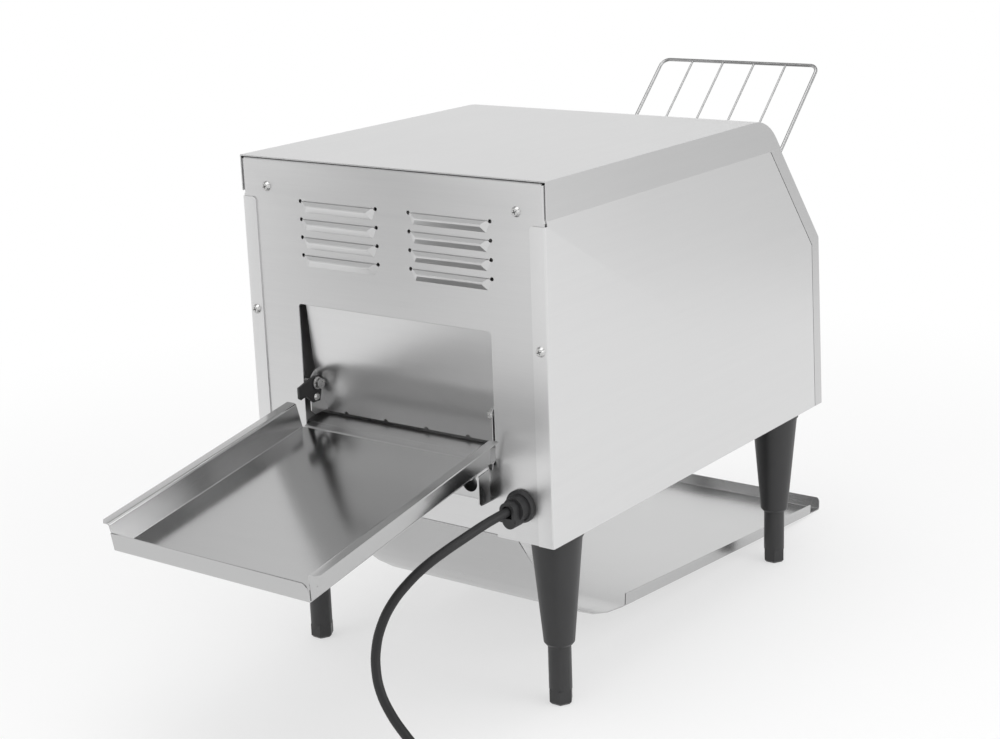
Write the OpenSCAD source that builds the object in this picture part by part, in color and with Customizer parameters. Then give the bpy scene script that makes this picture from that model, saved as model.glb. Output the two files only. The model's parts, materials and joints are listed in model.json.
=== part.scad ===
// Conveyor toaster for a counter: a folded stainless body on four adjustable legs. Bread goes down the
// wire rack onto the belt, passes between quartz heaters and drops at the back. The deflector flap sends
// it down the curved chute to the front, or, swung open, out over the rear tray.
// The front faces -Y, +X is the object's own left. The origin is on the counter, in the body's middle
// plane, forward of the rear panel's face by rear_y.

/* [Body] */
// Width over the roof's side flanges
body_w = 288; // [280:1:310]
// Height of the body without its legs
body_h = 270; // [262:1:290]
// Height of the body's underside above the counter
leg_h = 140; // [132:1:160]
// Distance from the origin back to the face of the rear panel
rear_y = 210; // [208:1:225]
// Distance forward to the corner of roof and slope
roof_front = 111; // [104:1:118]
// Distance forward to the knee between slope and front
knee_front = 206; // [202:1:212]
// Height of the knee above the underside
knee_h = 154; // [148:1:160]
// Distance forward to the foot of the front
foot_front = 216; // [213:1:222]
// Thickness of the outer sheets
skin_t = 1; // [0.8:0.1:1.2]
// Radius of the bend between roof and slope
roof_bend = 48; // [30:1:55]
// Height of the roof's side flanges
flange_h = 28; // [22:1:32]
// Width of the front frame's side flanges
band_w = 12.5; // [9:0.5:16]
// Width of the side panels' strips on the back
strip_w = 13.5; // [11:0.5:16]
// Height at which those strips end, above the underside
strip_h = 238; // [220:1:240]

/* [Louvres] */
// Length of one louvre
louvre_l = 74; // [50:1:80]
// Height of one louvre
louvre_h = 8.5; // [6:0.5:9.5]
// How far a louvre stands out
louvre_out = 3; // [2:0.5:4]
// How far a louvre's upper edge stands out
louvre_lip = 1.4; // [1.2:0.1:1.8]
// Distance from one louvre to the next
louvre_pitch = 14; // [12:0.5:15]
// Louvres in a column
louvre_rows = 4; // [2:1:4]
// Distance between the two columns
louvre_gap = 105; // [96:1:110]

/* [Outlet] */
// Width of the outlet in the rear panel
outlet_w = 185; // [180:1:188]
// Height of the outlet's lower edge above the underside
outlet_low = 56; // [52:1:58]
// Height of the outlet
outlet_h = 101; // [99:1:106]
// Thickness of the flap
flap_t = 1; // [0.8:0.1:1.5]
// Diameter of the flap's pivot bolts
pivot_d = 6; // [5:0.5:7]

/* [Belt] */
// Distance between the belt's rods
belt_pitch = 12; // [11.6:0.1:12.2]
// Teeth that the belt's wheels stand for
belt_teeth = 11; // [10:1:11]
// Length of the belt's straight runs, in pitches
belt_spans = 23; // [21:1:23]
// Diameter of the belt's rods
rod_d = 3; // [2.5:0.1:3.4]
// Length of the belt's rods
rod_l = 176; // [164:1:182]
// Diameter of the two shafts
shaft_d = 8; // [7:0.5:9]
// Distance between the two inner walls
lane_w = 194; // [192:1:198]
// Thickness of the inner walls
wall_t = 1.2; // [1:0.1:1.5]

/* [Heaters] */
// Diameter of a quartz tube
tube_d = 10; // [8:0.5:12]
// Tubes above the belt, and as many inside it
tube_n = 3; // [2:1:3]
// Distance between the tubes
tube_pitch = 72; // [60:1:80]

/* [Drive] */
// Pitch of the drive chain
chain_pitch = 9.5; // [9:0.1:10]
// Length of the chain's straight runs, in pitches
chain_spans = 8; // [7:1:9]
// Diameter of the gear motor
motor_d = 58; // [50:1:62]

/* [Trays] */
// Width of the catch tray
catch_w = 191; // [185:1:192]
// Radius of the catch tray's bend under the body
catch_r = 150; // [120:1:180]
// Distance forward to the end of the catch tray
catch_front = 309; // [290:1:320]
// Height of the catch tray's side flanges
catch_h = 10.5; // [8:0.5:14]
// Width of the rear tray's floor
tray_w = 184; // [180:1:184]
// Length of the rear tray's floor
tray_l = 203; // [150:1:230]
// Slope of the rear tray
tray_tilt = 10.2; // [6:0.1:12]
// Height of the rear tray's side flanges
tray_h = 20; // [15:0.5:24]
// Width of the lips on those flanges
tray_lip = 8; // [5:0.5:10]
// Height of the rear tray's end
tray_end = 14.5; // [10:0.5:18]
// Space beside the crumb tray, from each wall of the lane
crumb_gap = 8; // [6:0.5:20]

/* [Rack] */
// Width of the wire rack
rack_w = 166; // [150:1:176]
// Distance from the rack's pins to its top bar
rack_l = 199; // [150:1:210]
// Angle of the rack above the counter
rack_tilt = 43; // [41:1:45]
// Diameter of the rack's frame wire
frame_wire = 3.2; // [3:0.1:4]
// Diameter of the rack's inner wires
inner_wire = 2; // [1.6:0.1:2.5]

/* [Legs] */
// Distance of a leg's centre from the middle, sideways
leg_x = 121; // [120:0.5:122]
// Distance forward to a front leg's centre
leg_front = 168; // [160:1:180]
// Distance back to a rear leg's centre
leg_rear = 176; // [165:1:182]
// Diameter of a leg at its top
leg_top = 39.5; // [34:0.5:42]
// Diameter of a leg at its lower end
leg_end = 24; // [22:0.5:28]
// Diameter of a foot's shank
foot_d = 18; // [16:0.5:20]
// Height of the bare part of a foot
foot_h = 49; // [40:1:55]
// How far a foot screws out
foot_travel = 12; // [6:1:16]

/* [Controls] */
// Diameter of the knobs
knob_d = 36; // [28:1:42]
// Depth of the knobs
knob_h = 17; // [12:1:22]
// Distance between the knobs
knob_gap = 130; // [100:1:150]
// Height of the knobs above the foot of the front
knob_up = 66; // [60:1:72]

/* [Cord] */
// Diameter of the power cord
cord_d = 7; // [6:0.5:8]

/* [Hidden] */
$fn = 48;

// clearances and finish
gap = 0.3;          // between pieces that move past each other
touch = 0.1;        // between fixed pieces that meet edge to face
seam = 0.6;         // open seams of the casing
fit = 0.08;         // radial play of a pin or shaft in its bore
bend_r = 1.5;       // outer radius of a folded edge
eps = 0.01;         // overlap that fuses the parts of one piece
steel = [0.78, 0.78, 0.79];
bright = [0.86, 0.86, 0.87];
dark = [0.16, 0.16, 0.17];
ceramic = [0.93, 0.91, 0.86];

// outline of the body
under_z = leg_h;
roof_z = under_z + body_h;
knee_z = under_z + knee_h;
side_x = body_w/2 - skin_t;                     // outer face of the side panels
side_in = side_x - skin_t;
rear_in = rear_y - skin_t;                      // inner face of the rear panel
cap_z = roof_z - flange_h;                      // lower edge of the roof's flanges
slope = atan2(roof_z - knee_z, knee_front - roof_front);
lean = atan2(foot_front - knee_front, knee_h);
cap_y = -roof_front - flange_h/tan(slope);      // slope's surface at that edge
strip_z = under_z + strip_h;
pan_t = 1.2;
pan_z = under_z + pan_t;                        // top of the base pan's floor
runner_h = 3;                                   // runners that carry the crumb tray

// lane between the inner walls
lane_x = lane_w/2;
crumb_w = lane_w - 2*crumb_gap;
wall_out = lane_x + wall_t;
belt_r = belt_pitch/(2*sin(180/belt_teeth));    // pitch radius of the belt's wheels
drive_y = 115;
drive_z = under_z + 122;
idler_y = drive_y - belt_pitch*belt_spans;
wheel_r = belt_r - rod_d/2 - gap;
wheel_t = 4;
wheel_x = 74;

// flap and outlet
pivot_y = rear_y - 8;
pivot_z = under_z + 92;
flap_x = outlet_w/2 - 3.5;                      // outer face of the flap's ears
ear_y = rear_in - 1.5;
flap_top = [rear_y - 4.5, under_z + outlet_low + outlet_h - 1.5];
flap_mid = [rear_y - 8.5, under_z + 110];
flap_end = [rear_y - 21.4, under_z + 65.4];
lever_t = 2;
lever_y = rear_y + 13;                          // tip of the lever
sill_in = rear_y - 24.5;
sill_z = under_z + 63.2;                        // inner end of the sill
sill_out = [rear_y + 3, under_z + 59];
chute_top = under_z + 8;

// catch tray: lower surface of its sheet
catch_t = 1;
catch_run = 54.2;                               // angle of its upper part
catch_fall = 4.2;                               // slope of its floor
catch_edge = 2;                                 // radius of its front bend, which rests on the counter
catch_low = catch_edge*(1 - sin(catch_fall) - cos(catch_fall));
catch_seat = [rear_y - 13.4, under_z];          // where it passes the underside
catch_bend = let (k = tan(catch_run), m = tan(catch_fall))
    let (y = (catch_low + m*catch_front - catch_seat[1] + k*catch_seat[0])/(k - m))
    [y, catch_low + m*(y + catch_front)];
catch_top = catch_seat + (chute_top - under_z)/tan(catch_run)*[1, 0] + [0, chute_top - under_z];
well_front = 128;                               // front edge of the opening for toast in the base
well_x = lane_x - 0.2;
crumb_back = well_front - 12;                   // rear end of the crumb tray

// rear tray: lower surface of its sheet
tray_t = 1;
apron_y = rear_y + 8.5;
apron_low = under_z + 30;
tray_z = under_z + 57.5;                        // floor at the apron
tray_far = [apron_y + tray_l*cos(tray_tilt), tray_z - tray_l*sin(tray_tilt)];
stud_x = 74;
stud_z = under_z + 50;
stud_d = 5;
stud_head = 12;
key_drop = 8;                                   // how far the tray lifts to come off its studs
tab_w = 12.2;

// rack, in its own plane: s runs from the pins to the top bar
rack_pin = [-176, under_z + 151.5];
rack_reach = lane_x + wall_t;                   // end of a pin
rack_cross = (knee_z - rack_pin[1] + (rack_pin[0] + knee_front)*tan(slope))
    /(sin(rack_tilt) + cos(rack_tilt)*tan(slope));          // where it passes the slope
inlet_low = (rack_pin[1] + rack_cross*sin(rack_tilt) - knee_z)/sin(slope) - frame_wire/2 - gap;
inlet_h = 72;
inlet_w = outlet_w;

// heaters
tube_z = under_z + 192;
tube_y0 = idler_y + 68;
tube_l = lane_w + 2*wall_t + 6;
cap_d = tube_d + 5;
cap_l = 13;

// chain drive, on the left
chain_teeth = 10;
chain_r = chain_pitch/(2*sin(180/chain_teeth));
chain_x = wall_out + 7;
chain_t = 3;
roller_d = 5;
motor_dir = 230;                                // direction from the drive shaft to the motor
motor_y = drive_y + chain_pitch*chain_spans*cos(motor_dir);
motor_z = drive_z + chain_pitch*chain_spans*sin(motor_dir);
bracket_x = chain_x + 7;

// legs
collar_d = leg_top + 2;
collar_h = 3;
foot_hex = 12;
foot_in = 45;                                   // length of the shank inside the leg
bolt_d = 6;

// louvres: upper edge of the top row, and the columns' distance off the middle
louvre_z = roof_z - 31.8;
louvre_aside = 5.5;
louvre_hole = 3;                                // relief holes at the ends of a louvre

// screws
screw_d = 8;
screw_h = 2.4;
screw_hole = 4.2;
high_screw = [118, roof_z - 23];
side_screw = [side_x - strip_w/2, under_z + 148];

// gland and cord
gland = [-114.5, rear_y, under_z + 28.6];
gland_d = 25;
gland_body = 18;
gland_hole = 19;
gland_bore = [-113.8, under_z + 29];            // where the cord leaves it
gland_nose = rear_y + 18;                       // its mouth
cord_start = gland_nose - 9;                    // the cord's end, inside the mouth
// the cord's route from the gland to the coil, by hand
CORD = [[-113.8, 219, 169], [-113.8, 229, 169], [-112.5, 238, 168], [-110.4, 250, 166], [-106.5, 269, 161.3],
    [-101.5, 286, 155.7], [-95, 301, 148], [-88.5, 312, 138.6], [-81.5, 323, 125], [-77, 330.5, 110],
    [-75.5, 335.5, 95], [-78, 340, 80.5], [-84, 343.5, 66.5], [-94.5, 346, 53.3], [-107, 348, 43],
    [-122, 350, 33], [-139, 352, 23], [-157, 353.5, 14], [-175, 354.5, 8], [-193, 355, 5.3], [-211, 355, 5]];
coil_turns = 4.5;
coil_out = 47;                                  // radius of its outer turn
coil_step = cord_d + 0.6;                       // from one turn to the next
coil_c = [-218, 355 + coil_out];                // its centre
tie_t = 1.2;
tie_w = 12;
coil_z = tie_t + gap + cord_d/2;                // height of its lower turns, which lie on the tie

// ---------- folded sheet: a rounded path and a wall beside it ----------
function unit(v) = v/norm(v);
function left(v) = [-v[1], v[0]];
function cross2(a, b) = a[0]*b[1] - a[1]*b[0];
// vertex i of path p moved by t to the left, with mitred corners
function moved(p, i, t) = let (n = len(p))
    let (a = i == 0 ? undef : left(unit(p[i] - p[i-1])))
    let (b = i == n - 1 ? undef : left(unit(p[i+1] - p[i])))
    i == 0 ? p[i] + t*b : i == n - 1 ? p[i] + t*a : p[i] + t*(a + b)/(1 + a*b);
// arc of radius r in the corner of a, b, c
function arc(a, b, c, r) = let (u = unit(a - b), v = unit(c - b))
    let (half = acos(max(-1, min(1, u*v)))/2, m = b + unit(u + v)*r/sin(half))
    let (p = b + u*r/tan(half) - m, q = b + v*r/tan(half) - m)
    let (turn = atan2(cross2(p, q), p*q), n = max(3, ceil(abs(turn)/9)))
    [for (k = [0:n]) m + [p[0]*cos(turn*k/n) - p[1]*sin(turn*k/n), p[0]*sin(turn*k/n) + p[1]*cos(turn*k/n)]];
function turned(p, i) = sign(cross2(p[i] - p[i-1], p[i+1] - p[i]));
function rounded(p, r, t = 0) = let (q = [for (i = [0:len(p)-1]) moved(p, i, t)])
    [for (i = [0:len(p)-1])
        let (s = i == 0 || i == len(p) - 1 ? 0 : r[i] - t*turned(p, i))
        for (w = s > 0.05 ? arc(q[i-1], q[i], q[i+1], s) : [q[i]]) w];
function reversed(p) = [for (i = [len(p)-1:-1:0]) p[i]];
module sheet(p, r, t) { polygon(concat(rounded(p, r), reversed(rounded(p, r, t)))); }
// a shape drawn in Y and Z, w wide about x
module across(w, x = 0) {
    translate([x, 0, 0]) rotate([90, 0, 90]) linear_extrude(w, center = true) children();
}
module rod_x(d, l, x = 0) { translate([x, 0, 0]) rotate([0, 90, 0]) cylinder(d = d, h = l, center = true); }
module rod_y(d, l) { rotate([-90, 0, 0]) cylinder(d = d, h = l); }
module both_sides() { for (s = [0, 1]) mirror([s, 0, 0]) children(); }

// ---------- casing ----------
front_path = [[cap_y, cap_z], [-knee_front, knee_z], [-foot_front, under_z]];
// the front's line moved in by t, kept between the heights of its ends
function front_line(t) = let (k = moved(front_path, 1, t))
    [[k[0] + (cap_z - k[1])/tan(slope), cap_z], k, [k[0] - (k[1] - under_z)*tan(lean), under_z]];

module base_pan() {
    side = side_in - touch;
    front = -foot_front + skin_t + 2;
    rim_t = 1;
    rim_h = 15;
    lip = 6;
    color(steel) difference() {
        union() {
            translate([-side, front, under_z]) cube([2*side, rear_in - front, pan_t]);
            for (x = [-side, side - rim_t])
                translate([x, front, under_z]) cube([rim_t, rear_in - front, rim_h]);
            for (x = [-side, well_x + 2])
                translate([x, rear_in - rim_t, under_z]) cube([side - well_x - 2, rim_t, rim_h]);
            for (x = [-side, crumb_w/2 + 3])
                translate([x, front, under_z]) cube([side - crumb_w/2 - 3, rim_t, rim_h - 5]);
            // runners for the crumb tray
            for (x = [-crumb_w/2 + 6, crumb_w/2 - 10])
                translate([x, front, under_z]) cube([4, crumb_back - front, pan_t + runner_h]);
            // seat for the catch tray, along its upper part
            across(2*well_x) sheet([catch_seat + [1.2, 0.4], catch_seat + [1.2, 0.4]
                + lip*[cos(catch_run), sin(catch_run)]], [0, 0], -rim_t);
        }
        translate([-well_x, well_front, under_z - 1])
            cube([2*well_x, catch_seat[0] + 1.6 - well_front, pan_t + 2]);
        across(2*well_x + 1) polygon([[well_front, under_z - 1], [well_front, under_z + 20],
            catch_seat + [0.5, 0] + 30*[cos(catch_run), sin(catch_run)],
            catch_seat + [0.5, 0] - 3*[cos(catch_run), sin(catch_run)]]);
        for (x = [-leg_x, leg_x], y = [-leg_front, leg_rear])
            translate([x, y, under_z - 1]) cylinder(d = bolt_d + 2*fit, h = pan_t + 2);
    }
}

// outside of one louvre, or its hollow when drawn smaller: a bulge with a slit along its top at z = 0
module louvre_bulge(l, inset) {
    out = louvre_out - inset;
    foot = 1.5*inset - louvre_h;
    profile = [[rear_y, foot], [rear_y + out, -0.4*louvre_h], [rear_y + louvre_lip - 1.5*inset, inset]];
    intersection() {
        across(l) polygon(concat([[rear_in - 0.5, foot]], rounded(profile, [0, louvre_out - inset, 0]),
            [[rear_y, inset], [rear_y, -0.3], [rear_in - 0.5, -0.3]]));
        louvre_end(l, inset, out);
        mirror([1, 0, 0]) louvre_end(l, inset, out);
    }
}
// all that lies inward of a louvre's sloping end, which leans in towards its foot
module louvre_end(l, inset, out) {
    translate([-l/2, 0, 0]) rotate([0, -25, 0]) linear_extrude(4*l, center = true)
        polygon([[1.5*inset, rear_in - 0.5], [1.5*inset, rear_y],
            [1.5*inset + 2*louvre_out, rear_y + out], [1.2*l, rear_y + out], [1.2*l, rear_in - 0.5]]);
}
module at_louvres() {
    for (side = [-1, 1], row = [0:louvre_rows-1])
        translate([side*louvre_gap/2 - louvre_aside, 0, louvre_z - row*louvre_pitch]) children();
}

module rear_panel() {
    half = side_in - 0.2;
    top = roof_z - skin_t - 0.4;
    return_w = 12;
    foot_cut = 2;
    low = under_z + outlet_low;
    r = 3;
    color(bright) difference() {
        union() {
            translate([-half, rear_in, under_z]) cube([2*half, skin_t, top - under_z - bend_r]);
            across(2*half - 2*bend_r) sheet([[rear_y, top - 3], [rear_y, top], [rear_y - return_w, top]],
                [0, bend_r, 0], skin_t);
            both_sides() translate([0, 0, strip_z + 2]) linear_extrude(top - strip_z - 2 - bend_r)
                sheet([[half - 3, rear_y], [half, rear_y], [half, rear_y - return_w]],
                    [0, bend_r, 0], -skin_t);
            at_louvres() louvre_bulge(louvre_l, 0);
        }
        both_sides() translate([half - bend_r, rear_y - bend_r, strip_z + 2]) difference() {
            cube([bend_r + 1, bend_r + 1, body_h]);
            cylinder(r = bend_r, h = body_h);
        }
        at_louvres() {
            louvre_bulge(louvre_l, 0.8);
            for (x = [-louvre_l/2, louvre_l/2]) translate([x, rear_in - 1, 0]) rod_y(louvre_hole, 6);
        }
        // outlet with round upper corners
        translate([-outlet_w/2, rear_in - 1, low]) cube([outlet_w, skin_t + 2, outlet_h - r]);
        translate([-outlet_w/2 + r, rear_in - 1, low]) cube([outlet_w - 2*r, skin_t + 2, outlet_h]);
        for (x = [-1, 1]) translate([0, rear_in - 1, 0]) {
            translate([x*(outlet_w/2 - r), 0, low + outlet_h - r]) rod_y(2*r, skin_t + 2);
            translate([x*stud_x, 0, stud_z]) rod_y(stud_d + 2*fit, skin_t + 2);
            translate([x*high_screw[0], 0, high_screw[1]]) rod_y(screw_hole, skin_t + 2);
            translate([x*side_screw[0], 0, side_screw[1]]) rod_y(screw_hole, skin_t + 2);
        }
        translate([-well_x + 5, rear_in - 1, under_z - 1]) cube([2*well_x - 10, skin_t + 2, foot_cut + 1]);
        translate([gland[0], rear_in - 1, gland[2]]) rod_y(gland_hole, skin_t + 2);
    }
}

module side_panel() {
    line = front_line(band_w + seam);
    top = roof_z - skin_t - 2;
    high = [line[0][0] + (top - cap_z)/tan(slope) + 8, top];
    r = 3;
    color(bright) difference() {
        union() {
            across(skin_t, side_x - skin_t/2) polygon([[rear_in - 1, under_z], [rear_in - 1, top], high,
                line[0], line[1], line[2]]);
            translate([0, 0, under_z]) linear_extrude(strip_h)
                sheet([[side_x, rear_in - 2], [side_x, rear_y + skin_t], [side_x - strip_w, rear_y + skin_t]],
                    [0, bend_r, 0], skin_t);
        }
        translate([side_x - strip_w - 1, rear_y - 1, strip_z - r]) difference() {
            cube([r + 1, skin_t + 2, r + 1]);
            translate([r + 1, -1, 0]) rod_y(2*r, skin_t + 4);
        }
        translate([side_screw[0], rear_y - 1, side_screw[1]]) rod_y(screw_hole, skin_t + 2);
    }
}

module roof_panel() {
    path = [[rear_y, roof_z], [-roof_front, roof_z], [cap_y, cap_z]];
    radii = [0, roof_bend, 0];
    color(bright) {
        across(body_w) sheet(path, radii, skin_t);
        both_sides() across(skin_t, body_w/2 - skin_t/2)
            polygon(concat(rounded(path, radii), [[rear_y, cap_z]]));
    }
}

// a place on the front, up from its foot, or on the slope, up from the knee; Z points out
module on_front(x, up) {
    translate([x, -foot_front, under_z]) rotate([90 - lean, 0, 0]) translate([0, up, 0]) children();
}
module on_slope(x, up) {
    translate([x, -knee_front, knee_z]) rotate([slope, 0, 0]) translate([0, up, 0]) children();
}

module front_frame() {
    path = [front_path[0] - seam*[cos(slope), sin(slope)]*0.5, front_path[1], front_path[2]];
    radii = [0, 4, 0];
    slot_low = pan_t + runner_h;
    slot_h = 16;
    color(bright) difference() {
        union() {
            across(2*side_x) sheet(path, radii, skin_t);
            both_sides() across(skin_t, side_x - skin_t/2)
                polygon(concat(rounded(path, radii), reversed(front_line(band_w))));
        }
        on_slope(-inlet_w/2, inlet_low) translate([0, 0, -5]) cube([inlet_w, inlet_h, 10]);
        on_front(-crumb_w/2 - 1, slot_low) translate([0, 0, -4]) cube([crumb_w + 2, slot_h, 8]);
        for (x = [-1, 1]) on_front(x*knob_gap/2, knob_up) translate([0, 0, -4]) cylinder(d = 8, h = 8);
        on_front(0, knob_up + 18) translate([0, 0, -4]) cylinder(d = 10 + 2*fit, h = 8);
    }
}

// ---------- lane: walls, sill and guide ----------
module inner_wall() {
    top = tube_z + 20;
    front = front_line(skin_t + 6);
    foot_w = 12;
    color(steel) difference() {
        union() {
            across(wall_t, lane_x + wall_t/2) polygon([[rear_in - touch, pan_z], [rear_in - touch, top],
                [front[1][0] + (top - front[1][1])/tan(slope), top], front[1], [front[2][0] + 5, pan_z]]);
            translate([lane_x, front[2][0] + 12, pan_z])
                cube([foot_w, well_front - front[2][0] - 24, wall_t]);
        }
        for (y = [drive_y, idler_y]) translate([0, y, drive_z]) rod_x(shaft_d + 6.2, 400);
        translate([0, pivot_y, pivot_z]) rod_x(pivot_d + 2*fit, 400);
        translate([0, rack_pin[0], rack_pin[1]]) rod_x(frame_wire + 2*fit, 400);
        at_tubes() rod_x(tube_d + 1, 400);
    }
}
module at_tubes(low = true, high = true) {
    for (k = [0:tube_n-1]) {
        if (high) translate([0, tube_y0 + k*tube_pitch, tube_z]) children();
        if (low) translate([0, tube_y0 + k*tube_pitch, drive_z]) children();
    }
}

module outlet_sill() {
    color(steel) {
        across(lane_w - 2*touch) sheet([[sill_in + 3, chute_top + 3], [sill_in, sill_z],
            [rear_in - 4, sill_z - (rear_in - 4 - sill_in)*0.146]], [0, 2, 0], -1);
        across(outlet_w - 1) sheet([[sill_in + 4, sill_z - 4*0.146], sill_out, sill_out + [1.2, -5.5]],
            [0, 2.4, 0], -1);
    }
}

module drop_guide() {
    high = drive_z - belt_r - 7;
    color(steel) across(lane_w - 2*touch)
        sheet([[well_front - 9, pan_z], [well_front - 0.5, pan_z], [well_front - 0.5, high],
            [well_front - 6, high + 3]], [0, bend_r, 3, 0], 1);
}

module deflector_flap() {
    path = [flap_top, flap_mid, flap_end];
    ear_in = flap_mid + 0.16*(flap_end - flap_mid) - [flap_t/2, 0];
    color(bright) difference() {
        union() {
            across(2*flap_x) sheet(path, [0, 60, 0], -flap_t);
            both_sides() across(flap_t, flap_x - flap_t/2) polygon([ear_in, [pivot_y + 1.5, pivot_z + 8],
                [ear_y, pivot_z + 3], [ear_y, under_z + 70], [ear_y - 4, under_z + 66.5],
                flap_end + [0.3, 1.5]]);
        }
        translate([0, pivot_y, pivot_z]) rod_x(pivot_d + 2*fit, 400);
        for (k = [-2:1]) translate([k*40 + 28.5, flap_end[0] - 3, flap_end[1]]) rod_y(4, 6);
    }
}

module flap_lever() {
    x = flap_x - flap_t - lever_t/2;
    color(dark) across(lever_t, x) difference() {
        polygon([[pivot_y - 4, pivot_z + 3.5], [pivot_y - 1.5, pivot_z + 5.5], [pivot_y + 8, pivot_z + 4.6],
            [lever_y, pivot_z + 0.6], [lever_y, pivot_z - 8], [lever_y - 2, pivot_z - 9.5],
            [lever_y - 8, pivot_z - 8], [pivot_y + 5, pivot_z - 15], [pivot_y - 3, pivot_z - 15],
            [pivot_y - 6, pivot_z - 3]]);
        translate([pivot_y, pivot_z]) circle(d = pivot_d + 2*fit);
        translate([pivot_y + 1, pivot_z - 11]) circle(d = 4);
    }
}

module lever_rivet() {
    face = flap_x - flap_t - lever_t;
    color(steel) translate([0, pivot_y + 1, pivot_z - 11]) {
        rod_x(3.8, lever_t, face + lever_t/2);
        translate([face, 0, 0]) rotate([0, -90, 0]) cylinder(d1 = 6.5, d2 = 4, h = 1.6);
    }
}

module flap_pivot_bolts() {
    seat = flap_x - flap_t - gap;
    shank = wall_out - seat + 5;
    color(steel) for (s = [-1, 1]) translate([0, pivot_y, pivot_z]) {
        lever = s > 0 ? lever_t : 0;
        head = seat - lever;
        rotate([0, s*90, 0]) {
            translate([0, 0, head - 1.2]) cylinder(d = 10, h = 1.2);
            translate([0, 0, head - 4.6]) cylinder(d = 9, h = 3.5, $fn = 6);
            translate([0, 0, head - 1]) cylinder(d = pivot_d, h = shank + lever + 1);
            translate([0, 0, wall_out]) cylinder(d = 11, h = 4.5, $fn = 6);
        }
    }
}

// ---------- belt ----------
// place u on a loop round two equal wheels, a number of spans apart; u counts pitches
function loop_at(u, p, teeth, spans) = let (r = p/(2*sin(180/teeth)))
    u < spans ? [u*p, r]
    : u < spans + teeth/2 ? let (a = 90 - (u - spans)*360/teeth) [spans*p + r*cos(a), r*sin(a)]
    : u < 2*spans + teeth/2 ? [(2*spans + teeth/2 - u)*p, -r]
    : let (a = -90 - (u - 2*spans - teeth/2)*360/teeth) [r*cos(a), r*sin(a)];
// one link plate from a to b with a hole at each end
module link_plate(a, b, w, t, hole) {
    d = norm(b - a);
    rotate([0, 0, atan2(b[1] - a[1], b[0] - a[0])]) linear_extrude(t, center = true) difference() {
        union() {
            circle(d = w, $fn = 24);
            translate([0, -w*0.38]) square([d, w*0.76]);
            translate([d, 0]) circle(d = w, $fn = 24);
        }
        circle(d = hole, $fn = 24);
        translate([d, 0]) circle(d = hole, $fn = 24);
    }
}
// pins and plates of a chain or belt in the plane of Y and Z
module link_loop(p, teeth, spans, pin, pin_l, w, t, rows) {
    n = 2*spans + teeth;
    for (i = [0:n-1]) {
        a = loop_at(i, p, teeth, spans);
        b = loop_at((i + 1) % n, p, teeth, spans);
        translate([0, a[0], a[1]]) rod_x(pin, pin_l);
        for (x = rows) translate([x + sign(x)*(i % 2)*(t + 0.2), a[0], a[1]])
            rotate([90, 0, 90]) link_plate(a - a, b - a, w, t, pin + 0.2);
    }
}

module conveyor_belt() {
    plate_t = 1;
    edge = rod_l/2 - 4;
    color(steel) translate([0, idler_y, drive_z])
        link_loop(belt_pitch, belt_teeth, belt_spans, rod_d, rod_l, rod_d + 2.4, plate_t, [-edge, edge]);
}

// shaft with three wheels that carry the belt
module belt_shaft(low, high) {
    rod_x(shaft_d, high - low, (high + low)/2);
    for (x = [-wheel_x, 0, wheel_x]) {
        rod_x(shaft_d + 8, 12, x);
        difference() {
            rod_x(2*wheel_r, wheel_t, x);
            for (k = [0:4]) rotate([k*72, 0, 0]) translate([x, wheel_r*0.68, 0])
                rod_x(wheel_r*0.34, wheel_t + 1);
        }
    }
}
module drive_shaft() {
    color(steel) translate([0, drive_y, drive_z]) {
        belt_shaft(-wall_out - 6, chain_x + 5);
        rod_x(2*(chain_r - roller_d/2 - gap), chain_t - 2*gap, chain_x);
        rod_x(shaft_d + 7, 4, chain_x - 3);
    }
}
module idler_shaft() {
    color(steel) translate([0, idler_y, drive_z]) belt_shaft(-wall_out - 6, wall_out + 6);
}
module shaft_bushes() {
    color([0.72, 0.55, 0.3]) both_sides() for (y = [drive_y, idler_y])
        translate([0, y, drive_z]) difference() {
        union() {
            rod_x(shaft_d + 6, 4.4, wall_out - 1.6 + touch);
            rod_x(shaft_d + 10, 1.2, lane_x - 0.6 - touch);
        }
        rod_x(shaft_d + 2*fit, 400);
    }
}

// ---------- drive ----------
module motor_sprocket() {
    color(steel) translate([0, motor_y, motor_z]) {
        rod_x(2*(chain_r - roller_d/2 - gap), chain_t - 2*gap, chain_x);
        rod_x(14, 4, chain_x - 3);
        rod_x(8, bracket_x - chain_x + 4, (bracket_x + chain_x)/2 + 1);
    }
}
module drive_motor() {
    face = bracket_x + 1.2;
    gear_l = 17;
    can_l = side_in - face - gear_l - 2;
    color(steel) translate([face, motor_y, motor_z]) rotate([0, 90, 0]) {
        difference() {
            union() {
                cylinder(d = motor_d, h = gear_l);
                translate([0, 0, gear_l]) cylinder(d = motor_d - 8, h = can_l);
            }
            translate([0, 0, -1]) cylinder(d = 8 + 2*fit, h = 6);
        }
    }
}
module motor_bracket() {
    w = motor_d + 14;
    foot = 14;
    color(steel) difference() {
        translate([0, motor_y - w/2, 0]) rotate([90, 0, 180]) translate([0, 0, -w]) linear_extrude(w)
            sheet([[-bracket_x - foot, pan_z], [-bracket_x, pan_z], [-bracket_x, motor_z + motor_d/2]],
                [0, bend_r, 0], 1.2);
        translate([0, motor_y, motor_z]) rod_x(20, 400);
    }
}
module drive_chain() {
    color(dark) translate([chain_x, drive_y, drive_z]) rotate([motor_dir, 0, 0])
        link_loop(chain_pitch, chain_teeth, chain_spans, roller_d - 2, chain_t + 4.6, 6, 0.8,
            [-chain_t/2 - 0.6, chain_t/2 + 0.6]);
}

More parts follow.
